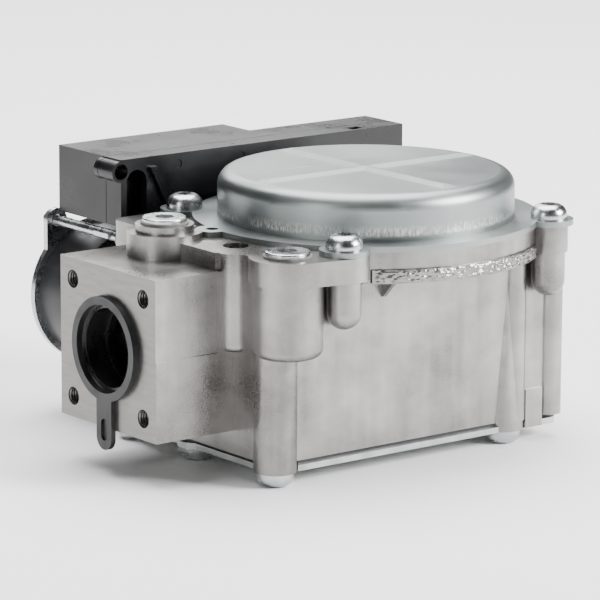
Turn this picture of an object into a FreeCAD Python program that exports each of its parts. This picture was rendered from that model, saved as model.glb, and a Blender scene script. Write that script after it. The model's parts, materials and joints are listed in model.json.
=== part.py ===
import FreeCAD, Part
import math
import os

# Driving dimensions, mm. Origin: centre of the inlet flange face. +X flow, +Y coil side, +Z up.
flange_half = 21.75
flange_hole_pitch = 32.0
flange_hole_radius = 2.5
bore_radius = 11.8
body_left, body_right = 25.0, 126.0
body_front, body_rear = -38.0, 34.0
body_bottom, body_top = -28.0, 26.5
outlet_face = 138.0
cover_x, cover_y = 81.85, -6.15
cover_flange_radius = 47.5
dome_radius = 40.6
dome_top = 40.3
sheet = 1.5
cover_screw_offset = 35.4
plug_x, plug_y = 22.5, 5.5
mid_plug_x, mid_plug_y = 32.5, -35.3
throttle_x, throttle_y = 30.5, -15.5
plate_screws = [(29.5, -34.3), (107.9, -34.3), (29.5, 0.8), (29.5, 29.0), (107.9, 29.0)]
coil_x, coil_z = 45.2, -1.7
coil_start, coil_end = 54.0, 70.8
seat_face = -10.0
main_seat_face = -10.4
servo_x, servo_z = 104.0, 2.0
housing_left, housing_right = 32.7, 132.2
housing_low, housing_high = 22.2, 41.0
housing_front_y, housing_seam = 40.0, 47.0
housing_step_x, housing_step_y, housing_back_y = 89.8, 57.2, 70.1
cable_tube_x, cable_tube_z = 32.8, 37.6


def spot(x, y, z):
    return FreeCAD.Vector(x, y, z)


def block(x0, x1, y0, y1, z0, z1):
    return Part.makeBox(x1 - x0, y1 - y0, z1 - z0, spot(x0, y0, z0))


def post(x, y, radius, z0, z1):
    return Part.makeCylinder(radius, z1 - z0, spot(x, y, z0), spot(0, 0, 1))


def shaft_y(x, z, radius, y0, y1):
    return Part.makeCylinder(radius, y1 - y0, spot(x, y0, z), spot(0, 1, 0))


def shaft_x(y, z, radius, x0, x1):
    return Part.makeCylinder(radius, x1 - x0, spot(x0, y, z), spot(1, 0, 0))


def join(shapes):
    return shapes[0].fuse(shapes[1:]).removeSplitter()


def carve(shape, tools):
    return shape.cut(tools)


def upright_edges(shape):
    return [e for e in shape.Edges if len(e.Vertexes) == 2 and abs(e.tangentAt(e.FirstParameter).z) > 0.99]


def rounded_block(x0, x1, y0, y1, z0, z1, radius):
    raw = block(x0, x1, y0, y1, z0, z1)
    return raw.makeFillet(radius, upright_edges(raw))


def level_circles(shape, height):
    return [e for e in shape.Edges if e.Curve.TypeId == "Part::GeomCircle" and abs(e.Curve.Center.z - height) < 0.01]


def round_tail_post(x, y, radius, z0, z1, tail):
    raw = post(x, y, radius, z0, z1)
    return raw.makeFillet(tail, level_circles(raw, z0))


def link(x0, y0, r0, x1, y1, r1, z0, z1):
    # Solid over two circles and the band between their outer tangents.
    gap = math.hypot(x1 - x0, y1 - y0)
    heading = math.atan2(y1 - y0, x1 - x0)
    lean = math.acos((r0 - r1) / gap)
    corners = []
    for x, y, r, turn in [(x0, y0, r0, lean), (x1, y1, r1, lean), (x1, y1, r1, -lean), (x0, y0, r0, -lean)]:
        corners.append(spot(x + r * math.cos(heading + turn), y + r * math.sin(heading + turn), z0))
    band = Part.Face(Part.makePolygon(corners + corners[:1])).extrude(spot(0, 0, z1 - z0))
    return join([band, post(x0, y0, r0, z0, z1), post(x1, y1, r1, z0, z1)])


def lathe(points, x, y):
    # Closed outline of (radius, z) points turned about the vertical line through x, y.
    outline = Part.makePolygon([spot(x + r, y, z) for r, z in points + points[:1]])
    return Part.Face(outline).revolve(spot(x, y, 0), spot(0, 0, 1), 360)


def cover_screw_spots():
    spots = []
    for side_x in (-1, 1):
        for side_y in (-1, 1):
            spots.append((cover_x + side_x * cover_screw_offset, cover_y + side_y * cover_screw_offset))
    return spots


def flange_holes(x0, x1):
    holes = []
    for side_y in (-1, 1):
        for side_z in (-1, 1):
            half = flange_hole_pitch / 2
            holes.append(shaft_x(side_y * half, side_z * half, flange_hole_radius, x0, x1))
    return holes


def foot_skirt(x, y, grow):
    # Wall hanging past the plate edge round a front screw, open towards the rear.
    outer = post(x, y, 5.75 + grow, -30.8 - grow, body_bottom)
    inner = post(x, y, 4.7 - grow, -32.0, body_bottom + 1)
    mouth = block(x - 4.7 + grow, x + 4.7 - grow, y, y + 8, -32.0, body_bottom + 1)
    return outer.cut([inner, mouth])


def plate_outline(z0, z1, inset):
    outer = rounded_block(26.2 + inset, 125.4 - inset, -38.2 + inset, 33.4 - inset, z0, z1, 3.5)
    ears = [post(29.5, 0.8, 5.2 - inset, z0, z1)]
    skirts = [foot_skirt(x, y, 0.25) for x, y in plate_screws[:2]]
    return join([outer] + ears).cut(skirts)


def rim_gusset():
    outline = [spot(62.0, -44.0, 18.2), spot(62.0, -37.5, 18.2), spot(62.0, -37.5, 12.6), spot(62.0, -38.4, 12.6)]
    return Part.Face(Part.makePolygon(outline + outline[:1])).extrude(spot(1.2, 0, 0))


def casting_outside():
    solids = [rounded_block(body_left, body_right, body_front, body_rear, body_bottom, body_top, 3.5)]
    solids.append(block(0, 27.3, -flange_half, flange_half, -flange_half, flange_half))
    solids.append(block(124, outlet_face, -flange_half, flange_half, -flange_half, flange_half))
    solids.append(post(cover_x, cover_y, 47.0, 21.0, body_top))
    solids.append(post(cover_x, cover_y, 47.0, 18.0, 22.0).common(block(52, 112, -60, -30, 17, 23)))
    solids.append(post(cover_x, cover_y, 47.7, 18.3, 21.8).common(block(53.5, 110.5, -60, -30, 17, 23)))
    solids.append(link(mid_plug_x, mid_plug_y, 10.2, 46.3, -41.5, 6.9, 20.0, body_top))
    solids.append(round_tail_post(mid_plug_x, mid_plug_y, 9.5, 0.0, 21.0, 2.4))
    solids.append(round_tail_post(46.45, -41.55, 4.6, 6.5, 21.0, 4.4))
    solids.append(round_tail_post(117.25, -41.55, 4.6, 6.6, 20.0, 4.4))
    solids.append(post(117.25, -41.55, 5.3, 19.0, body_top))
    solids.append(block(112.0, 121.0, -41.5, -30.0, 19.0, body_top))
    solids.append(post(122.4, -36.6, 3.6, body_bottom, 20.0))
    solids.append(post(29.5, -34.3, 5.75, body_bottom, 2.0))
    solids.append(Part.makeCone(4.9, 1.5, 46.0, spot(106.6, -35.8, body_bottom), spot(0, 0, 1)))
    solids.append(post(109.3, -37.2, 3.1, body_bottom, 18.3))
    solids.append(post(29.5, 0.8, 5.75, body_bottom, -12.0))
    for x, y in plate_screws[:2]:
        solids.append(foot_skirt(x, y, 0.0))
    solids.append(block(112.6, 118.6, -38.6, -37.25, -30.8, -20.0))
    solids.append(post(plug_x, plug_y, 10.3, 12.0, 28.2))
    solids.append(post(plug_x, plug_y, 7.9, 27.0, 30.2))
    solids.append(block(20.5, 32.0, -20.0, 1.0, 0.0, body_top))
    solids.append(link(throttle_x, throttle_y, 5.4, 25.9, -21.5, 4.7, 15.0, body_top))
    solids.append(round_tail_post(25.9, -21.5, 4.7, 0.0, 20.0, 2.0))
    solids.append(rim_gusset())
    for x, y in cover_screw_spots()[1::2]:
        solids.append(post(x, y, 6.4, 14.0, body_top))
    solids.append(shaft_y(coil_x, coil_z, 18.0, 30.0, coil_start))
    solids.append(shaft_y(servo_x, servo_z, 10.0, 30.0, 42.0))
    solids.append(block(42.0, 50.0, 33.0, 52.0, 14.0, housing_low - 0.05))
    solids.append(block(96.0, 112.0, 33.0, 54.0, 16.5, 20.9))
    solids.append(block(101.0, 107.0, 33.0, 52.0, 13.3, 17.0))
    for x in (99.0, 109.0):
        solids.append(post(x, 50.5, 2.6, 20.0, housing_low - 0.05))
    solids.append(shaft_y(32.4, 19.4, 3.2, 30.0, 38.0))
    return join(solids)


def casting_hollows():
    tools = []
    tools.append(shaft_x(0, 0, bore_radius, -1, 36))
    tools.append(shaft_x(0, 0, bore_radius, 118, outlet_face + 1))
    tools.append(block(35, 60, -12, 29, body_bottom - 1, 12))
    tools.append(block(35, 60, -33, -18, body_bottom - 1, 8))
    tools.append(block(59, 102, -33, -18, body_bottom - 1, -14))
    tools.append(block(64, 102, -19, 24, body_bottom - 1, -14))
    tools.append(block(64, 121, -30, 29, -11, 10))
    tools.append(post(cover_x, cover_y, 30.0, 14.0, 27.0))
    tools.append(post(cover_x, cover_y, 37.0, 22.5, 27.0))
    tools.append(post(cover_x, cover_y, 46.0, 26.0, 27.0))
    tools.append(post(cover_x, cover_y, 13.0, -15.0, -10.0))
    tools.append(post(cover_x, cover_y, 3.05, 8.0, 16.0))
    tools.append(shaft_y(coil_x, coil_z, 9.0, -19.0, -11.0))
    tools.append(shaft_y(coil_x, coil_z, 6.1, 28.0, 50.0))
    tools.append(shaft_y(coil_x, coil_z, 9.1, 49.4, coil_start + 1))
    tools.append(shaft_y(servo_x, servo_z, 5.1, 28.0, 43.0))
    tools.append(post(plug_x, plug_y, 4.9, 5.0, 31.0))
    tools.append(post(mid_plug_x, mid_plug_y, 4.9, 4.0, 27.0))
    tools.append(post(throttle_x, throttle_y, 3.5, 10.0, 27.0))
    tools.append(post(34.5, 0.4, 1.7, 18.0, 27.0))
    tools.append(post(34.5, 0.4, 4.9, body_top, 32.0))
    for x, y in cover_screw_spots():
        tools.append(post(x, y, 2.5, 12.0, 27.0))
    for x, y in plate_screws:
        tools.append(post(x, y, 2.05, -32.0, -17.0))
    tools.append(shaft_y(32.4, 19.4, 1.6, 29.0, 39.0))
    tools.append(block(-1, 20.2, -23.0, -flange_half + 0.35, 0.0, 22.5))
    tools.extend(flange_holes(-1, 13))
    tools.extend(flange_holes(outlet_face - 13, outlet_face + 1))
    return tools


def body_casting():
    return carve(casting_outside(), casting_hollows())


def inlet_strainer():
    sleeve = shaft_x(0, 0, 11.75, 0.6, 31.0).cut(shaft_x(0, 0, 10.7, 0.0, 32.0))
    step = shaft_x(0, 0, 11.0, 7.0, 9.0).cut(shaft_x(0, 0, 9.9, 6.0, 10.0))
    second_step = shaft_x(0, 0, 11.0, 13.0, 15.0).cut(shaft_x(0, 0, 9.1, 12.0, 16.0))
    dome = Part.makeSphere(10.0, spot(26.0, 0, 0)).common(block(17.0, 27.0, -12, 12, -12, 12))
    hollow = Part.makeSphere(9.2, spot(26.4, 0, 0))
    rim = shaft_x(0, 0, 11.0, 25.0, 27.0).cut(shaft_x(0, 0, 9.4, 24.0, 28.0))
    return join([sleeve, step, second_step, dome.cut(hollow), rim])


def port_gasket(x0, x1):
    return shaft_x(0, 0, 14.1, x0, x1).cut(shaft_x(0, 0, 11.85, x0 - 1, x1 + 1))


def inlet_gasket():
    ring = port_gasket(-1.8, 0.0)
    tab = block(-1.4, 0.0, -3.4, 3.4, -24.6, -13.0)
    tip = shaft_x(0, -24.0, 3.4, -1.4, 0.0)
    slot = link_x(0, -20.2, 0, -23.6, 1.3, -1.5, -0.7)
    return join([ring, tab.cut(shaft_x(0, 0, 11.85, -3, 1)), tip]).cut(slot)


def link_x(y0, z0, y1, z1, radius, x0, x1):
    ends = [shaft_x(y0, z0, radius, x0, x1), shaft_x(y1, z1, radius, x0, x1)]
    return join(ends + [block(x0, x1, y0 - radius, y0 + radius, min(z0, z1), max(z0, z1))])


def outlet_gasket():
    return port_gasket(outlet_face, outlet_face + 1.8)


def bottom_gasket():
    sheet_ring = plate_outline(-29.2, body_bottom, 0.8)
    windows = [block(35, 60, -12, 29, -30, -27), block(35, 60, -33, -18, -30, -27)]
    windows.append(block(59, 102, -33, -18, -30, -27))
    windows.append(block(64, 102, -19, 24, -30, -27))
    holes = [post(x, y, 2.2, -30, -27) for x, y in plate_screws]
    return sheet_ring.cut(windows + holes)


def bottom_plate():
    holes = [post(x, y, 2.2, -32, -27) for x, y in plate_screws]
    return plate_outline(-30.8, -29.2, 0.0).cut(holes)


def bottom_screw(x, y):
    head = post(x, y, 5.0, -34.6, -30.8)
    head = head.makeFillet(2.6, level_circles(head, -34.6))
    return join([head, post(x, y, 2.0, -31.0, -18.0)]).cut(block(x - 3, x + 3, y - 0.6, y + 0.6, -35, -33))


def bottom_screws():
    return Part.makeCompound([bottom_screw(x, y) for x, y in plate_screws])


def diaphragm():
    disc = post(cover_x, cover_y, 45.8, 26.0, 26.5)
    fold = lathe([(33.0, 25.0), (36.0, 25.0), (36.0, 26.2), (33.0, 26.2)], cover_x, cover_y)
    return join([disc, fold]).cut(post(cover_x, cover_y, 3.3, 24.0, 28.0))


def dome_outside(radius, top, low):
    raw = post(cover_x, cover_y, radius, low, top)
    return raw.makeFillet(4.2, level_circles(raw, top))


def crease(along_x):
    reach = 38.0
    flat = dome_radius - 4.4
    outline = [spot(-2.7, -reach, 0), spot(2.7, -reach, 0), spot(0.5, -reach, 0.9), spot(-0.5, -reach, 0.9)]
    bar = Part.Face(Part.makePolygon(outline + outline[:1])).extrude(spot(0, 2 * reach, 0))
    if along_x:
        bar.rotate(spot(0, 0, 0), spot(0, 0, 1), 90)
    bar.translate(spot(cover_x, cover_y, dome_top - 0.1))
    taper = lathe([(0, 39.0), (flat, 39.0), (flat, dome_top), (flat - 3.5, dome_top + 1), (0, dome_top + 1)], cover_x, cover_y)
    return bar.common(taper)


def diaphragm_cover():
    low = body_top
    flange = post(cover_x, cover_y, cover_flange_radius, low, low + sheet)
    ears = [post(x, y, 6.7, low, low + sheet) for x, y in cover_screw_spots()]
    small_ear = link(34.5, 0.4, 4.6, 42.0, -0.6, 4.5, low, low + sheet)
    dome = dome_outside(dome_radius, dome_top, low)
    shell = join([flange, small_ear, dome] + ears + [crease(False), crease(True)])
    hollow = dome_outside(dome_radius - sheet, dome_top - sheet, low - 1)
    holes = [post(x, y, 2.7, low - 1, low + 3) for x, y in cover_screw_spots()]
    return shell.cut([hollow, post(34.5, 0.4, 1.7, low - 1, low + 3)] + holes)


def star_socket(x, y, z0, z1):
    lobes = [post(x, y, 1.5, z0, z1)]
    for step in range(6):
        angle = math.radians(60 * step)
        lobes.append(post(x + 1.55 * math.cos(angle), y + 1.55 * math.sin(angle), 0.55, z0, z1))
    return join(lobes)


def cover_screw(x, y):
    low = body_top + sheet
    head = post(x, y, 5.0, low, low + 3.9)
    head = head.makeFillet(2.9, level_circles(head, low + 3.9))
    return join([head, post(x, y, 2.45, 13.0, low + 1)]).cut(star_socket(x, y, low + 1.6, low + 5))


def cover_screws():
    return Part.makeCompound([cover_screw(x, y) for x, y in cover_screw_spots()])


def test_plug(x, y, seat, head):
    top = seat + head
    corners = []
    for step in range(6):
        angle = math.radians(60 * step + 12)
        corners.append(spot(x + 2.9 * math.cos(angle), y + 2.9 * math.sin(angle), top - 3.6))
    socket = Part.Face(Part.makePolygon(corners + corners[:1])).extrude(spot(0, 0, 5))
    cap = post(x, y, 6.0, seat, top)
    cap = cap.makeFillet(0.5, level_circles(cap, top))
    return join([cap, post(x, y, 4.8, seat - 9.0, seat + 0.5)]).cut(socket)


def inlet_test_plug():
    return test_plug(plug_x, plug_y, 30.8, 1.2)


def mid_test_plug():
    return test_plug(mid_plug_x, mid_plug_y, 27.1, 1.1)


def plug_seal(x, y, low):
    return post(x, y, 6.5, low, low + 0.6).cut(post(x, y, 4.9, low - 1, low + 2))


def inlet_plug_seal():
    return plug_seal(plug_x, plug_y, 30.2)


def mid_plug_seal():
    return plug_seal(mid_plug_x, mid_plug_y, body_top)


def throttle_screw():
    barrel = post(throttle_x, throttle_y, 3.45, 15.0, 21.0)
    tip = Part.makeCone(0.8, 3.0, 4.0, spot(throttle_x, throttle_y, 11.2), spot(0, 0, 1))
    slot = block(throttle_x - 4, throttle_x + 4, throttle_y - 0.5, throttle_y + 0.5, 19.6, 22)
    return join([barrel, tip]).cut(slot)


def safety_seat_ring():
    return shaft_y(coil_x, coil_z, 9.0, -18.0, seat_face).cut(shaft_y(coil_x, coil_z, 7.0, -19.0, -9.0))


def safety_seal():
    return shaft_y(coil_x, coil_z, 10.0, seat_face, seat_face + 1.6)


def safety_disc():
    return shaft_y(coil_x, coil_z, 10.4, seat_face + 1.6, seat_face + 3.2)


def armature():
    bar = shaft_y(coil_x, coil_z, 5.0, seat_face + 3.2, 46.0)
    collar = shaft_y(coil_x, coil_z, 6.4, seat_face + 3.2, seat_face + 5.2)
    pocket = shaft_y(coil_x, coil_z, 3.4, 38.0, 47.0)
    return join([bar, collar]).cut(pocket)


def spring(radius, wire, pitch, length, x, y, z):
    coil = Part.makeHelix(pitch, length, radius)
    section = Part.Wire([Part.makeCircle(wire, spot(radius, 0, 0), spot(0, 1, pitch / (2 * math.pi * radius)))])
    wound = Part.Wire(coil).makePipeShell([section], True, True)
    wound.translate(spot(x, y, z))
    return wound


def armature_spring():
    wound = spring(2.4, 0.4, 2.2, 9.4, 0, 0, 0)
    wound.rotate(spot(0, 0, 0), spot(1, 0, 0), -90)
    wound.translate(spot(coil_x, 38.5, coil_z))
    return wound


def armature_tube():
    tube = shaft_y(coil_x, coil_z, 6.0, 34.0, 69.5)
    flange = shaft_y(coil_x, coil_z, 9.0, 51.1, 53.8)
    return join([tube, flange]).cut(shaft_y(coil_x, coil_z, 5.05, 33.0, 70.0))


def tube_seal():
    return shaft_y(coil_x, coil_z, 8.6, 49.5, 51.1).cut(shaft_y(coil_x, coil_z, 6.05, 49.0, 52.0))


def pole_core():
    core = shaft_y(coil_x, coil_z, 5.04, 51.5, 69.5)
    stud = shaft_y(coil_x, coil_z, 3.0, 69.0, 73.8)
    return join([core, stud])


def coil_bobbin():
    tube = shaft_y(coil_x, coil_z, 7.4, 54.6, 70.2)
    ends = [shaft_y(coil_x, coil_z, 16.5, y, y + 1.2) for y in (54.6, 69.0)]
    return join([tube] + ends).cut(shaft_y(coil_x, coil_z, 6.1, 54.0, 71.0))


def coil_winding():
    return shaft_y(coil_x, coil_z, 15.8, 55.8, 69.0).cut(shaft_y(coil_x, coil_z, 7.4, 55.0, 70.0))


def coil_jacket():
    outer = shaft_y(coil_x, coil_z, 19.0, coil_start, coil_end)
    hollow = shaft_y(coil_x, coil_z, 16.5, 54.6, 70.2)
    return outer.cut([hollow, shaft_y(coil_x, coil_z, 6.1, 53.0, 72.0)])


def coil_end_plate():
    plate = shaft_y(coil_x, coil_z, 20.7, coil_end, coil_end + 1.8)
    ear = shaft_y(32.4, 19.4, 3.4, coil_end, coil_end + 1.8)
    neck = block(29.0, 37.5, coil_end, coil_end + 1.8, 8.0, 19.4)
    holes = [shaft_y(32.4, 19.4, 1.65, 70.0, 74.0), shaft_y(coil_x, coil_z, 3.1, 70.0, 74.0)]
    return join([plate, ear, neck]).cut(holes)


def coil_core_nut():
    return shaft_y(coil_x, coil_z, 4.6, 72.6, 75.0).cut(shaft_y(coil_x, coil_z, 3.0, 72.0, 73.8))


def coil_retaining_rod():
    wire = shaft_y(32.4, 19.4, 1.5, 30.0, 75.6)
    crimp = block(30.3, 34.5, 43.0, 50.0, 18.8, 20.0)
    return join([wire, crimp])


def housing_block(y0, y1):
    deep = block(housing_left, housing_step_x, y0, y1, housing_low, housing_high)
    shallow = block(80.0, housing_right, y0, min(y1, housing_step_y), housing_low, housing_high)
    return join([deep, shallow])


def cover_clearance():
    return [post(cover_x, cover_y, 48.6, 20.0, 29.5), post(cover_x, cover_y, 42.0, 29.0, 42.0)]


def housing_front():
    face = housing_front_y
    shell = housing_block(face, housing_seam)
    tube = shaft_y(cable_tube_x, cable_tube_z, 3.0, face, housing_seam)
    hollows = [block(46.5, 88.0, face + 2.2, 48.0, 23.8, 39.2), block(90.0, 130.6, face + 2.2, 48.0, 23.8, 39.2)]
    pocket = block(34.6, 41.4, face - 1, 45.0, 20.0, 34.3)
    arch = shaft_y(38.0, 34.3, 3.4, face - 1, 45.0)
    screw_hole = shaft_y(cable_tube_x, cable_tube_z, 2.2, face - 1, 48.0)
    marks = [shaft_y(x, 37.9, 1.2, face - 1, face + 0.25) for x in (52.2, 74.0)]
    corners = [spot(42.0, face - 1.2, 38.2), spot(44.2, face - 1.2, 38.2)]
    corners += [spot(49.8, face - 1.2, 27.0), spot(47.4, face - 1.2, 27.0)]
    rib = Part.Face(Part.makePolygon(corners + corners[:1])).extrude(spot(0, 1.6, 0))
    slot = block(114.6, 118.4, face + 0.9, 44.0, 39.0, 42.0)
    body = join([shell, tube]).cut(hollows + [pocket, arch, screw_hole, slot] + marks)
    return join([body, rib]).cut(cover_clearance())


def housing_rear():
    start = housing_seam + 0.25
    shell = housing_block(start, housing_back_y)
    tube = shaft_y(cable_tube_x, cable_tube_z, 3.0, start, 49.0)
    hollows = [block(38.0, 88.0, 46.0, 68.4, 23.8, 39.2), block(86.0, 130.6, 46.0, 55.6, 23.8, 39.2)]
    sockets = [block(46.0, 62.0, 60.0, 71.0, 27.0, 36.0), block(68.0, 80.0, 60.0, 71.0, 27.0, 36.0)]
    screw_hole = shaft_y(cable_tube_x, cable_tube_z, 1.25, 46.0, 50.6)
    return join([shell, tube]).cut(hollows + sockets + [screw_hole])


def housing_screw():
    head = shaft_y(cable_tube_x, cable_tube_z, 2.1, 44.6, 47.2)
    thread = shaft_y(cable_tube_x, cable_tube_z, 1.2, 47.0, 50.4)
    return join([head, thread]).cut(block(30.0, 36.0, 44.0, 45.4, cable_tube_z - 0.3, cable_tube_z + 0.3))


def circuit_board():
    return block(42.0, 84.0, 49.0, 50.6, 23.8, 39.2)


def board_header(x0, x1):
    base = block(x0, x1, 50.6, 58.0, 28.0, 35.0)
    return base.cut(block(x0 + 1, x1 - 1, 52.0, 59.0, 29.0, 34.0))


def connector_headers():
    return Part.makeCompound([board_header(46.5, 61.5), board_header(68.5, 79.5)])


def connector_pins():
    pins = []
    for start, count in ((48.8, 5), (70.2, 4)):
        for step in range(count):
            x = start + 2.54 * step
            pins.append(block(x - 0.32, x + 0.32, 52.0, 62.0, 31.2, 31.84))
    return Part.makeCompound(pins)


def main_seat_ring():
    return post(cover_x, cover_y, 13.0, -14.0, main_seat_face).cut(post(cover_x, cover_y, 11.0, -15.0, -9.0))


def main_seal():
    return post(cover_x, cover_y, 14.0, main_seat_face, -8.8).cut(post(cover_x, cover_y, 3.0, -12.0, -8.0))


def main_disc():
    disc = post(cover_x, cover_y, 14.4, -8.8, -7.2)
    hub = post(cover_x, cover_y, 5.2, -7.2, -4.0)
    return join([disc, hub]).cut(post(cover_x, cover_y, 3.0, -10.0, -3.0))


def main_stem():
    foot = post(cover_x, cover_y, 4.6, -12.4, main_seat_face)
    return join([post(cover_x, cover_y, 3.0, -12.0, 32.2), foot])


def lower_plate():
    dish = post(cover_x, cover_y, 31.0 - 2.0, 24.4, 26.0)
    return dish.cut(post(cover_x, cover_y, 3.0, 23.0, 27.0))


def upper_plate():
    return post(cover_x, cover_y, 29.0, 26.5, 28.1).cut(post(cover_x, cover_y, 3.0, 26.0, 29.0))


def stem_nut():
    corners = []
    for step in range(6):
        angle = math.radians(60 * step)
        corners.append(spot(cover_x + 4.2 * math.cos(angle), cover_y + 4.2 * math.sin(angle), 28.1))
    body = Part.Face(Part.makePolygon(corners + corners[:1])).extrude(spot(0, 0, 3.2))
    return body.cut(post(cover_x, cover_y, 3.0, 27.0, 33.0))


def main_spring():
    return spring(5.6, 0.8, 2.6, 8.6, cover_x, cover_y, 29.0)


def servo_tube():
    tube = shaft_y(servo_x, servo_z, 5.0, 31.0, 61.0).cut(shaft_y(servo_x, servo_z, 4.05, 33.0, 59.0))
    return tube.cut(shaft_y(servo_x, servo_z, 1.2, 30.0, 34.0))


def servo_plunger():
    return shaft_y(servo_x, servo_z, 4.0, 33.0, 55.0).cut(shaft_y(servo_x, servo_z, 2.3, 46.0, 56.0))


def servo_spring():
    wound = spring(1.7, 0.3, 1.4, 10.6, 0, 0, 0)
    wound.rotate(spot(0, 0, 0), spot(1, 0, 0), -90)
    wound.translate(spot(servo_x, 46.4, servo_z))
    return wound


def servo_coil():
    outer = shaft_y(servo_x, servo_z, 11.0, 42.1, 60.0)
    return outer.cut(shaft_y(servo_x, servo_z, 5.05, 41.0, 62.0))


def servo_coil_clip():
    return shaft_y(servo_x, servo_z, 7.0, 60.0, 61.0).cut(shaft_y(servo_x, servo_z, 5.0, 59.0, 62.0))


nodes = {
    "body_casting": body_casting,
    "inlet_strainer": inlet_strainer,
    "inlet_gasket": inlet_gasket,
    "outlet_gasket": outlet_gasket,
    "bottom_gasket": bottom_gasket,
    "bottom_plate": bottom_plate,
    "bottom_screws": bottom_screws,
    "diaphragm": diaphragm,
    "diaphragm_cover": diaphragm_cover,
    "cover_screws": cover_screws,
    "inlet_test_plug": inlet_test_plug,
    "mid_test_plug": mid_test_plug,
    "inlet_plug_seal": inlet_plug_seal,
    "mid_plug_seal": mid_plug_seal,
    "throttle_screw": throttle_screw,
    "safety_seat_ring": safety_seat_ring,
    "safety_seal": safety_seal,
    "safety_disc": safety_disc,
    "armature": armature,
    "armature_spring": armature_spring,
    "armature_tube": armature_tube,
    "tube_seal": tube_seal,
    "pole_core": pole_core,
    "coil_bobbin": coil_bobbin,
    "coil_winding": coil_winding,
    "coil_jacket": coil_jacket,
    "coil_end_plate": coil_end_plate,
    "coil_core_nut": coil_core_nut,
    "coil_retaining_rod": coil_retaining_rod,
    "housing_front": housing_front,
    "housing_rear": housing_rear,
    "housing_screw": housing_screw,
    "circuit_board": circuit_board,
    "connector_headers": connector_headers,
    "connector_pins": connector_pins,
    "main_seat_ring": main_seat_ring,
    "main_seal": main_seal,
    "main_disc": main_disc,
    "main_stem": main_stem,
    "lower_plate": lower_plate,
    "upper_plate": upper_plate,
    "stem_nut": stem_nut,
    "main_spring": main_spring,
    "servo_tube": servo_tube,
    "servo_plunger": servo_plunger,
    "servo_spring": servo_spring,
    "servo_coil": servo_coil,
    "servo_coil_clip": servo_coil_clip,
}

os.makedirs("parts", exist_ok=True)
for name, make in nodes.items():
    solid = make()
    solid.exportStep("parts/" + name + ".step")
    print(name, "solids", len(solid.Solids), "valid", solid.isValid(), "volume", round(solid.Volume))
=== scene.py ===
import bpy
import json
import math
import random
from mathutils import Euler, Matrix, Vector


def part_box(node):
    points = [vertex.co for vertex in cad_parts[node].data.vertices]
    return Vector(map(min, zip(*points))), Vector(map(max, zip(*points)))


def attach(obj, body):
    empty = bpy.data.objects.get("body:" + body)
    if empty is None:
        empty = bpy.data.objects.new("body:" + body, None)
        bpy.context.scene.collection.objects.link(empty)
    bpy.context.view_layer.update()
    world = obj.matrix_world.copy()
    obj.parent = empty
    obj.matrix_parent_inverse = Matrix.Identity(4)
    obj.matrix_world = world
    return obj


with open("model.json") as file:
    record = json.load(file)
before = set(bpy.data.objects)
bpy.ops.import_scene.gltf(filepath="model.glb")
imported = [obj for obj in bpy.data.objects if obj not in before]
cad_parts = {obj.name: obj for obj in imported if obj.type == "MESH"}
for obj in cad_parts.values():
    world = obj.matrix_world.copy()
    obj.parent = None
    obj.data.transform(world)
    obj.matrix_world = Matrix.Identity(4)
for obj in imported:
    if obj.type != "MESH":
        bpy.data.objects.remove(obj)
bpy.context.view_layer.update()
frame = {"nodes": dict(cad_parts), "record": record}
nodes = frame["nodes"]
mounts = {m["name"]: m for m in frame["record"]["mounts"]}
mm = 0.001
print("frame loaded:", len(nodes), "nodes")


# short helpers that wire shader nodes
def freshMaterial(name):
    mat = bpy.data.materials.new(name)
    mat.use_nodes = True
    return mat, mat.node_tree, mat.node_tree.nodes["Principled BSDF"]


def add(tree, kind, **fixed):
    node = tree.nodes.new(kind)
    for key, value in fixed.items():
        setattr(node, key, value)
    return node


def wire(tree, source, target):
    tree.links.new(source, target)


def placed(tree, stretch):
    coords = add(tree, "ShaderNodeTexCoord")
    mapping = add(tree, "ShaderNodeMapping")
    mapping.inputs["Scale"].default_value = stretch
    wire(tree, coords.outputs["Object"], mapping.inputs["Vector"])
    return mapping.outputs["Vector"]


def noise(tree, scale, detail=3.0, stretch=(1, 1, 1), rough=0.55):
    node = add(tree, "ShaderNodeTexNoise")
    node.inputs["Scale"].default_value = scale
    node.inputs["Detail"].default_value = detail
    node.inputs["Roughness"].default_value = rough
    wire(tree, placed(tree, stretch), node.inputs["Vector"])
    return node.outputs["Fac"]


def spread(tree, value, fromLow, fromHigh, low, high):
    node = add(tree, "ShaderNodeMapRange")
    for key, number in (("From Min", fromLow), ("From Max", fromHigh), ("To Min", low), ("To Max", high)):
        node.inputs[key].default_value = number
    wire(tree, value, node.inputs["Value"])
    return node.outputs["Result"]


def blendColours(tree, mask, first, second):
    node = add(tree, "ShaderNodeMix", data_type="RGBA")
    wire(tree, mask, node.inputs["Factor"])
    for socket, colour in ((node.inputs[6], first), (node.inputs[7], second)):
        if isinstance(colour, tuple):
            socket.default_value = (*colour, 1)
        else:
            wire(tree, colour, socket)
    return node.outputs[2]


def blendNumbers(tree, mask, first, second):
    node = add(tree, "ShaderNodeMix", data_type="FLOAT")
    wire(tree, mask, node.inputs["Factor"])
    for socket, number in ((node.inputs[2], first), (node.inputs[3], second)):
        if isinstance(number, (int, float)):
            socket.default_value = number
        else:
            wire(tree, number, socket)
    return node.outputs[0]


def combine(tree, operation, first, second):
    node = add(tree, "ShaderNodeMath", operation=operation)
    for socket, number in zip(node.inputs, (first, second)):
        if isinstance(number, (int, float)):
            socket.default_value = number
        else:
            wire(tree, number, socket)
    return node.outputs[0]


def weigh(tree, first, share, second):
    kept = combine(tree, "MULTIPLY", first, share)
    return combine(tree, "ADD", kept, combine(tree, "MULTIPLY", second, 1 - share))


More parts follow.
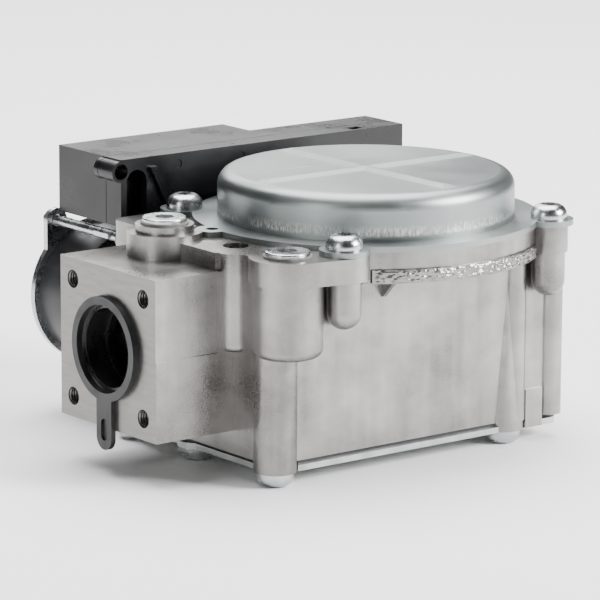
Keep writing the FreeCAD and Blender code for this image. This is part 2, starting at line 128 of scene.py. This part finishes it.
def bump(tree, shader, height, strength, distance):
    node = add(tree, "ShaderNodeBump")
    node.inputs["Strength"].default_value = strength
    node.inputs["Distance"].default_value = distance
    wire(tree, height, node.inputs["Height"])
    wire(tree, node.outputs["Normal"], shader.inputs["Normal"])


def axisValue(tree, axis):
    parts = add(tree, "ShaderNodeSeparateXYZ")
    wire(tree, placed(tree, (1, 1, 1)), parts.inputs[0])
    return parts.outputs[axis]


# a plain finish is a drifting colour, a drifting roughness and a fine grain
def plainFinish(name, look):
    mat, tree, shader = freshMaterial(name)
    shader.inputs["Metallic"].default_value = look.get("metal", 0.0)
    shader.inputs["Specular IOR Level"].default_value = look.get("specular", 0.5)
    shader.inputs["Coat Weight"].default_value = look.get("coat", 0.0)
    stretch = look.get("stretch", (1, 1, 1))
    drift = spread(tree, noise(tree, look["drift"], 4.0), 0.35, 0.65, 0, 1)
    grain = noise(tree, look["grain"], 3.0, stretch)
    wire(tree, blendColours(tree, drift, look["dark"], look["light"]), shader.inputs["Base Color"])
    low, high = look["rough"]
    worn = combine(tree, "MULTIPLY", combine(tree, "ADD", drift, grain), 0.5)
    wire(tree, spread(tree, worn, 0.3, 0.75, low, high), shader.inputs["Roughness"])
    bump(tree, shader, grain, look.get("relief", 0.2), look.get("depth", 0.0001))
    return mat


plainLooks = {
    "zincHardware": {"dark": (0.44, 0.46, 0.475), "light": (0.60, 0.61, 0.62), "metal": 1.0,
                     "rough": (0.20, 0.34), "drift": 260, "grain": 1800, "relief": 0.05, "depth": 0.00004},
    "zincPlate": {"dark": (0.42, 0.44, 0.43), "light": (0.58, 0.60, 0.59), "metal": 1.0, "rough": (0.28, 0.5),
                  "drift": 120, "grain": 1500, "stretch": (1, 1, 0.2), "relief": 0.5, "depth": 0.00015},
    "threadCut": {"dark": (0.06, 0.058, 0.055), "light": (0.16, 0.155, 0.15), "metal": 1.0,
                  "rough": (0.28, 0.42), "drift": 500, "grain": 2600, "relief": 0.2},
    "gasketRubber": {"dark": (0.006, 0.006, 0.007), "light": (0.016, 0.016, 0.018), "rough": (0.32, 0.52),
                     "drift": 180, "grain": 2600, "relief": 0.25},
    "diaphragmRubber": {"dark": (0.05, 0.05, 0.055), "light": (0.09, 0.09, 0.095), "rough": (0.5, 0.7),
                        "drift": 160, "grain": 1900, "relief": 0.35},
    "sealFibre": {"dark": (0.10, 0.10, 0.10), "light": (0.2, 0.2, 0.19), "rough": (0.55, 0.8),
                  "drift": 300, "grain": 2400, "relief": 0.4},
    "strainerPlastic": {"dark": (0.004, 0.004, 0.005), "light": (0.012, 0.012, 0.013), "rough": (0.22, 0.36),
                        "drift": 140, "grain": 2200, "relief": 0.15},
    "coilPlastic": {"dark": (0.009, 0.009, 0.011), "light": (0.02, 0.02, 0.023), "rough": (0.3, 0.48),
                    "drift": 90, "grain": 2100, "relief": 0.3},
    "bobbinNylon": {"dark": (0.5, 0.46, 0.36), "light": (0.62, 0.58, 0.47), "rough": (0.4, 0.55),
                    "drift": 120, "grain": 1500, "relief": 0.2},
    "copperWire": {"dark": (0.55, 0.22, 0.10), "light": (0.78, 0.38, 0.2), "metal": 1.0,
                   "rough": (0.22, 0.36), "drift": 200, "grain": 1400, "stretch": (1, 3, 1),
                   "relief": 0.7, "depth": 0.0003},
    "coreSteel": {"dark": (0.38, 0.38, 0.39), "light": (0.55, 0.55, 0.56), "metal": 1.0, "rough": (0.24, 0.4),
                  "drift": 220, "grain": 2000, "stretch": (1, 0.15, 1), "relief": 0.25},
    "springWire": {"dark": (0.42, 0.42, 0.43), "light": (0.6, 0.6, 0.61), "metal": 1.0, "rough": (0.2, 0.34),
                   "drift": 400, "grain": 2600, "relief": 0.2},
    "turnedBrass": {"dark": (0.52, 0.36, 0.12), "light": (0.74, 0.55, 0.24), "metal": 1.0,
                    "rough": (0.2, 0.36), "drift": 260, "grain": 2200, "stretch": (0.2, 0.2, 1),
                    "relief": 0.25},
    "solderMask": {"dark": (0.008, 0.09, 0.03), "light": (0.02, 0.16, 0.06), "rough": (0.25, 0.4),
                   "coat": 0.3, "drift": 110, "grain": 1800, "relief": 0.2},
    "headerNylon": {"dark": (0.6, 0.58, 0.5), "light": (0.72, 0.7, 0.63), "rough": (0.35, 0.5),
                    "drift": 150, "grain": 2000, "relief": 0.2},
    "tinnedPin": {"dark": (0.6, 0.6, 0.58), "light": (0.8, 0.8, 0.77), "metal": 1.0, "rough": (0.16, 0.3),
                  "drift": 500, "grain": 3000, "relief": 0.15},
}
finishes = {name: plainFinish(name, look) for name, look in plainLooks.items()}
print("plain finishes:", len(finishes))


# cast aluminium has a sandy skin, and its port faces are machined
castLook = {"dark": (0.17, 0.163, 0.157), "light": (0.36, 0.352, 0.344), "milledDark": (0.18, 0.176, 0.17),
            "milledLight": (0.28, 0.275, 0.266), "rough": (0.26, 0.40), "milledRough": 0.34,
            "skin": 1700, "pits": 420, "clouds": 38, "flowLines": 160, "cutterMarks": 2600,
            "faceDepth": 0.15 * mm, "relief": 0.32, "depth": 0.16 * mm}


def castFinish(look):
    mat, tree, shader = freshMaterial("castAluminium")
    shader.inputs["Metallic"].default_value = 1.0
    outlet = mounts["outlet_bolts"]["pos_m"][0]
    along = axisValue(tree, "X")
    atInlet = combine(tree, "LESS_THAN", along, look["faceDepth"])
    atOutlet = combine(tree, "GREATER_THAN", along, outlet - look["faceDepth"])
    milled = combine(tree, "ADD", atInlet, atOutlet)
    clouds = noise(tree, look["clouds"], 5.0, (1, 1, 1.4))
    flow = noise(tree, look["flowLines"], 2.0, (1, 1, 0.12))
    skin = noise(tree, look["skin"], 4.0)
    tint = spread(tree, weigh(tree, clouds, 0.7, flow), 0.36, 0.64, 0, 1)
    castColour = blendColours(tree, tint, look["dark"], look["light"])
    turned = noise(tree, 700, 2.0, (1, 0.15, 1))
    milledColour = blendColours(tree, turned, look["milledDark"], look["milledLight"])
    wire(tree, blendColours(tree, milled, castColour, milledColour), shader.inputs["Base Color"])
    castRough = spread(tree, weigh(tree, skin, 0.5, clouds), 0.38, 0.62, *look["rough"])
    wire(tree, blendNumbers(tree, milled, castRough, look["milledRough"]), shader.inputs["Roughness"])
    cutter = noise(tree, look["cutterMarks"], 1.0, (1, 0.08, 1))
    lumps = combine(tree, "ADD", skin, combine(tree, "MULTIPLY", noise(tree, look["pits"], 2.0), 0.8))
    bump(tree, shader, blendNumbers(tree, milled, lumps, cutter), look["relief"], look["depth"])
    return mat


# the cover has a soft zinc sheen, with drawing scuffs low on the dome wall
coverLook = {"dark": (0.235, 0.26, 0.258), "light": (0.30, 0.325, 0.32), "scuff": (0.9, 0.9, 0.86),
             "rough": (0.34, 0.46), "scuffRough": 0.6, "scuffLow": 29.0 * mm, "scuffHigh": 32.4 * mm,
             "scuffRise": 0.8 * mm, "scuffFade": 3.0 * mm, "relief": 0.14, "depth": 0.08 * mm}


def coverFinish(look):
    mat, tree, shader = freshMaterial("zincCover")
    shader.inputs["Metallic"].default_value = 1.0
    drift = spread(tree, noise(tree, 34, 4.0), 0.36, 0.64, 0, 1)
    rings = noise(tree, 900, 2.0, (0.04, 0.04, 1))
    height = axisValue(tree, "Z")
    rising = spread(tree, height, look["scuffLow"], look["scuffLow"] + look["scuffRise"], 0, 1)
    falling = spread(tree, height, look["scuffHigh"] - look["scuffFade"], look["scuffHigh"], 1, 0)
    streaks = spread(tree, noise(tree, 1900, 4.0, (1, 1, 0.3), 0.75), 0.44, 0.6, 0, 1)
    patches = spread(tree, noise(tree, 45, 2.0), 0.36, 0.52, 0, 1)
    wall = combine(tree, "MULTIPLY", rising, falling)
    scuffed = combine(tree, "MULTIPLY", wall, combine(tree, "MULTIPLY", streaks, patches))
    sheet = blendColours(tree, drift, look["dark"], look["light"])
    wire(tree, blendColours(tree, scuffed, sheet, look["scuff"]), shader.inputs["Base Color"])
    sheen = spread(tree, weigh(tree, drift, 0.4, rings), 0.25, 0.75, *look["rough"])
    wire(tree, blendNumbers(tree, scuffed, sheen, look["scuffRough"]), shader.inputs["Roughness"])
    grain = combine(tree, "ADD", rings, combine(tree, "MULTIPLY", noise(tree, 2200, 2.0), 0.5))
    bump(tree, shader, grain, look["relief"], look["depth"])
    return mat


# housing plastic has a spark-eroded grain and pale specks
housingLook = {"dark": (0.004, 0.004, 0.005), "light": (0.009, 0.009, 0.010), "dust": (0.024, 0.024, 0.027),
               "dustShare": 0.35, "specular": 0.4, "rough": (0.25, 0.38), "relief": 0.2, "depth": 0.08 * mm}


def housingFinish(look):
    mat, tree, shader = freshMaterial("housingPlastic")
    shader.inputs["Specular IOR Level"].default_value = look["specular"]
    drift = spread(tree, noise(tree, 60, 3.0), 0.36, 0.64, 0, 1)
    specks = spread(tree, noise(tree, 1500, 2.0), 0.66, 0.74, 0, 1)
    base = blendColours(tree, drift, look["dark"], look["light"])
    dusty = combine(tree, "MULTIPLY", specks, look["dustShare"])
    wire(tree, blendColours(tree, dusty, base, look["dust"]), shader.inputs["Base Color"])
    wire(tree, spread(tree, drift, 0, 1, *look["rough"]), shader.inputs["Roughness"])
    bump(tree, shader, noise(tree, 2300, 3.0), look["relief"], look["depth"])
    return mat


finishes["castAluminium"] = castFinish(castLook)
finishes["zincCover"] = coverFinish(coverLook)
finishes["housingPlastic"] = housingFinish(housingLook)

finishOf = {
    "cast_aluminium": "castAluminium", "zinc_cover": "zincCover", "zinc_hardware": "zincHardware",
    "black_rubber": "gasketRubber", "grey_seal": "sealFibre", "black_plastic": "housingPlastic",
    "strainer_plastic": "strainerPlastic", "coil_plastic": "coilPlastic", "bobbin_plastic": "bobbinNylon",
    "copper_wire": "copperWire", "core_steel": "coreSteel", "spring_steel": "springWire",
    "brass": "turnedBrass",
    "board": "solderMask", "header_plastic": "headerNylon", "pin_tin": "tinnedPin",
}
special = {"bottom_plate": "zincPlate", "diaphragm": "diaphragmRubber"}
for entry in frame["record"]["subparts"]:
    name = entry["node"]
    mesh = nodes[name].data
    mesh.materials.clear()
    mesh.materials.append(finishes[special.get(name, finishOf[entry["material_slot"]])])
print("finishes on every node")


# softened corners on the solid pieces
softCorners = {"body_casting": 0.28 * mm, "housing_front": 0.3 * mm, "housing_rear": 0.35 * mm,
               "bottom_plate": 0.25 * mm}
for name, width in softCorners.items():
    corner = nodes[name].modifiers.new("softCorner", "BEVEL")
    corner.width = width
    corner.segments = 2
    corner.limit_method = "ANGLE"
    corner.angle_limit = math.radians(40)
    corner.harden_normals = True
    corner.use_clamp_overlap = True


def newPiece(name, verts, faces, finish, body):
    mesh = bpy.data.meshes.new(name)
    mesh.from_pydata(verts, [], faces)
    mesh.validate()
    piece = bpy.data.objects.new(name, mesh)
    bpy.context.scene.collection.objects.link(piece)
    mesh.materials.append(finishes[finish])
    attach(piece, body)
    return piece


def shadeSmooth(piece, degrees=40):
    for face in piece.data.polygons:
        face.use_smooth = True
    piece.data.set_sharp_from_angle(angle=math.radians(degrees))


# threads in the flange holes, as liners just inside each bore
threadLook = {"pitch": 0.8 * mm, "depth": 10.0 * mm, "crest": 2.08 * mm, "root": 2.46 * mm, "sides": 28,
              "stepsPerTurn": 6, "setBack": 0.35 * mm, "skin": 0.02 * mm}


def threadLiner(name, start, direction, look):
    sides = look["sides"]
    steps = int(look["depth"] / look["pitch"] * look["stepsPerTurn"])

    def around(deep, radius, side):
        angle = 2 * math.pi * side / sides
        across, up = radius * math.cos(angle), radius * math.sin(angle)
        return start[0] + direction * deep, start[1] + across, start[2] + up

    verts = []
    for step in range(steps + 1):
        deep = look["depth"] * step / steps
        for side in range(sides):
            wave = abs(((deep / look["pitch"] - side / sides) % 1.0) * 2 - 1)
            radius = look["crest"] + (look["root"] - look["crest"]) * wave if step else look["root"]
            verts.append(around(deep, radius, side))
    inner = len(verts)
    for deep in (0.0, look["depth"]):
        verts += [around(deep, look["root"] + look["skin"], side) for side in range(sides)]
    faces = []
    for step in range(steps):
        for side in range(sides):
            a, b = step * sides + side, step * sides + (side + 1) % sides
            faces.append((a, b, b + sides, a + sides))
    last = steps * sides
    for side in range(sides):
        after = (side + 1) % sides
        faces.append((inner + side, inner + after, after, side))
        faces.append((last + side, last + after, inner + sides + after, inner + sides + side))
        faces.append((inner + sides + side, inner + sides + after, inner + after, inner + side))
    return newPiece(name, verts, faces, "threadCut", "valve_body")


for mountName, direction in (("inlet_bolts", 1), ("outlet_bolts", -1)):
    pattern = mounts[mountName]
    centre = pattern["pos_m"]
    half = pattern["dims"]["spacing_x_mm"] / 2 * mm
    for sideY in (-1, 1):
        for sideZ in (-1, 1):
            label = f"{mountName}Thread{'L' if sideY > 0 else 'R'}{'T' if sideZ > 0 else 'B'}"
            inward = centre[0] + direction * threadLook["setBack"]
            start = (inward, centre[1] + sideY * half, centre[2] + sideZ * half)
            shadeSmooth(threadLiner(label, start, direction, threadLook), 80)
print("threads cut")


# rough as-cast band on the rim
coverCentre = Vector((81.85 * mm, -6.15 * mm, 0))  # the round cover's own axis
bandLook = {"radius": 47.75 * mm, "inside": 47.2 * mm, "low": 18.35 * mm, "high": 21.75 * mm,
            "from": -35.6, "to": 36.3, "columns": 420, "rows": 18, "blobs": 380, "lump": 0.62 * mm,
            "sway": 0.12 * mm, "seed": 4}


def roughBand(look):
    dice = random.Random(look["seed"])
    columns, rows = look["columns"], look["rows"]

    def onRim(radius, along, high):
        angle = math.radians(look["from"] + (look["to"] - look["from"]) * along)
        return coverCentre.x + radius * math.sin(angle), coverCentre.y - radius * math.cos(angle), high

    blobs = []
    for _ in range(look["blobs"]):
        spot = dice.uniform(0, 1), dice.uniform(0, 1)
        blobs.append((*spot, dice.uniform(0.005, 0.02), dice.uniform(-1.1, 0.9)))
    verts = []
    for column in range(columns + 1):
        along = column / columns
        for row in range(rows + 1):
            up = row / rows
            edge = min(1.0, min(up, 1 - up) * 7, along * 60, (1 - along) * 60)
            lift = 0.0
            for blobAlong, blobUp, size, tall in blobs:
                far = ((along - blobAlong) / size) ** 2 + ((up - blobUp) * 0.18 / size) ** 2
                if far < 1:
                    lift += tall * (1 - far)
            lift = max(-0.9, min(1.0, lift)) + dice.uniform(-0.12, 0.12)
            radius = look["radius"] + (0.45 + 0.5 * lift) * look["lump"] * edge
            sway = look["sway"] * math.sin(along * 70) if up in (0, 1) else 0
            verts.append(onRim(radius, along, look["low"] + (look["high"] - look["low"]) * up + sway))
    front = len(verts)
    for column in range(columns + 1):
        verts += [onRim(look["inside"], column / columns, high) for high in (look["low"], look["high"])]
    faces = []
    wide = rows + 1
    for column in range(columns):
        for row in range(rows):
            a = column * wide + row
            faces.append((a, a + wide, a + wide + 1, a + 1))
        low, lowNext = column * wide, (column + 1) * wide
        back, backNext = front + 2 * column, front + 2 * column + 2
        faces.append((back, backNext, lowNext, low))
        faces.append((low + rows, lowNext + rows, backNext + 1, back + 1))
        faces.append((back + 1, backNext + 1, backNext, back))
    end = columns * wide
    faces.append((front, *range(0, wide), front + 1))
    faces.append((front + 2 * columns + 1, *range(end + rows, end - 1, -1), front + 2 * columns))
    return newPiece("rimCastBand", verts, faces, "castAluminium", "valve_body")


shadeSmooth(roughBand(bandLook), 60)
print("rim band cast")


# plain flow arrow, raised a little on the cover
arrowLook = {"start": (54.2 * mm, 5.6 * mm), "length": 20.5 * mm, "width": 0.3 * mm, "head": 2.6 * mm,
             "height": 0.04 * mm, "sunk": 0.05 * mm, "top": 40.3 * mm}


def flowArrow(look):
    x, y = look["start"]
    half, head, tip = look["width"] / 2, look["head"], look["start"][0] + look["length"]
    wing = head * 0.45
    outline = [(x, y - half), (tip - 2.4 * half, y - half), (tip - head, y - wing),
               (tip - head + half, y - wing - half), (tip, y), (tip - head + half, y + wing + half),
               (tip - head, y + wing), (tip - 2.4 * half, y + half), (x, y + half)]
    low, high = look["top"] - look["sunk"], look["top"] + look["height"]
    count = len(outline)
    verts = [(px, py, low) for px, py in outline] + [(px, py, high) for px, py in outline]
    faces = [tuple(range(count - 1, -1, -1)), tuple(range(count, 2 * count))]
    for point in range(count):
        after = (point + 1) % count
        faces.append((point, after, count + after, count + point))
    return newPiece("flowArrow", verts, faces, "zincCover", "valve_body")


flowArrow(arrowLook)
print("arrow raised")


# floor, light and camera
studio = {"floorLevel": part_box("bottom_screws")[0].z, "floorTone": (0.93, 0.93, 0.93), "floorSize": 6.0,
          "skyTone": (0.9, 0.92, 0.95), "skyStrength": 0.08, "middle": (0.07, 0.0, 0.0)}
softboxes = {
    "overhead": {"place": (0.25, 0.35, 1.25), "size": (1.4, 1.4), "watts": 56.0},
    "frontRight": {"place": (0.85, -0.95, 0.62), "size": (0.6, 0.6), "watts": 46.0},
    "leftStrip": {"place": (-0.95, -0.25, 0.30), "size": (0.16, 0.7), "watts": 3.0},
    "backRim": {"place": (0.6, 1.2, 0.6), "size": (0.8, 0.3), "watts": 6.0},
}


def studioFloor(look):
    size = look["floorSize"]
    corners = [(-size, -size), (size, -size), (size, size), (-size, size)]
    mesh = bpy.data.meshes.new("studioFloor")
    mesh.from_pydata([(x, y, look["floorLevel"]) for x, y in corners], [], [(0, 1, 2, 3)])
    floor = bpy.data.objects.new("studioFloor", mesh)
    bpy.context.scene.collection.objects.link(floor)
    mat, tree, shader = freshMaterial("paleFloor")
    shader.inputs["Roughness"].default_value = 0.9
    shader.inputs["Specular IOR Level"].default_value = 0.1
    shader.inputs["Base Color"].default_value = (*look["floorTone"], 1)
    mesh.materials.append(mat)


def softbox(name, look):
    light = bpy.data.lights.new(name, "AREA")
    light.shape = "RECTANGLE"
    light.size, light.size_y = look["size"]
    light.energy = look["watts"]
    lamp = bpy.data.objects.new(name, light)
    lamp.location = look["place"]
    aim = Vector(studio["middle"]) - Vector(look["place"])
    lamp.rotation_euler = aim.to_track_quat("-Z", "Y").to_euler()
    bpy.context.scene.collection.objects.link(lamp)


studioFloor(studio)
world = bpy.data.worlds.new("studioAir")
world.use_nodes = True
world.node_tree.nodes["Background"].inputs["Color"].default_value = (*studio["skyTone"], 1)
world.node_tree.nodes["Background"].inputs["Strength"].default_value = studio["skyStrength"]
bpy.context.scene.world = world
for name, look in softboxes.items():
    softbox(name, look)

viewpoint = {"place": (-592.4 * mm, -847.2 * mm, 238.8 * mm), "azimuth": -37.77, "elevation": 12.32,
             "roll": 0.28, "lens": 241.1, "sensor": 36, "clip": 0.05}
lensData = bpy.data.cameras.new("studioCamera")
lensData.lens = viewpoint["lens"]
lensData.sensor_width = viewpoint["sensor"]
lensData.clip_start = viewpoint["clip"]
camera = bpy.data.objects.new("studioCamera", lensData)
camera.location = viewpoint["place"]
tilt = math.radians(90 - viewpoint["elevation"])
camera.rotation_mode = "XYZ"
camera.rotation_euler = (Euler((tilt, 0, math.radians(viewpoint["azimuth"]))).to_matrix()
                         @ Euler((0, 0, math.radians(viewpoint["roll"]))).to_matrix()).to_euler()
bpy.context.scene.collection.objects.link(camera)
bpy.context.scene.camera = camera
print("studio set")
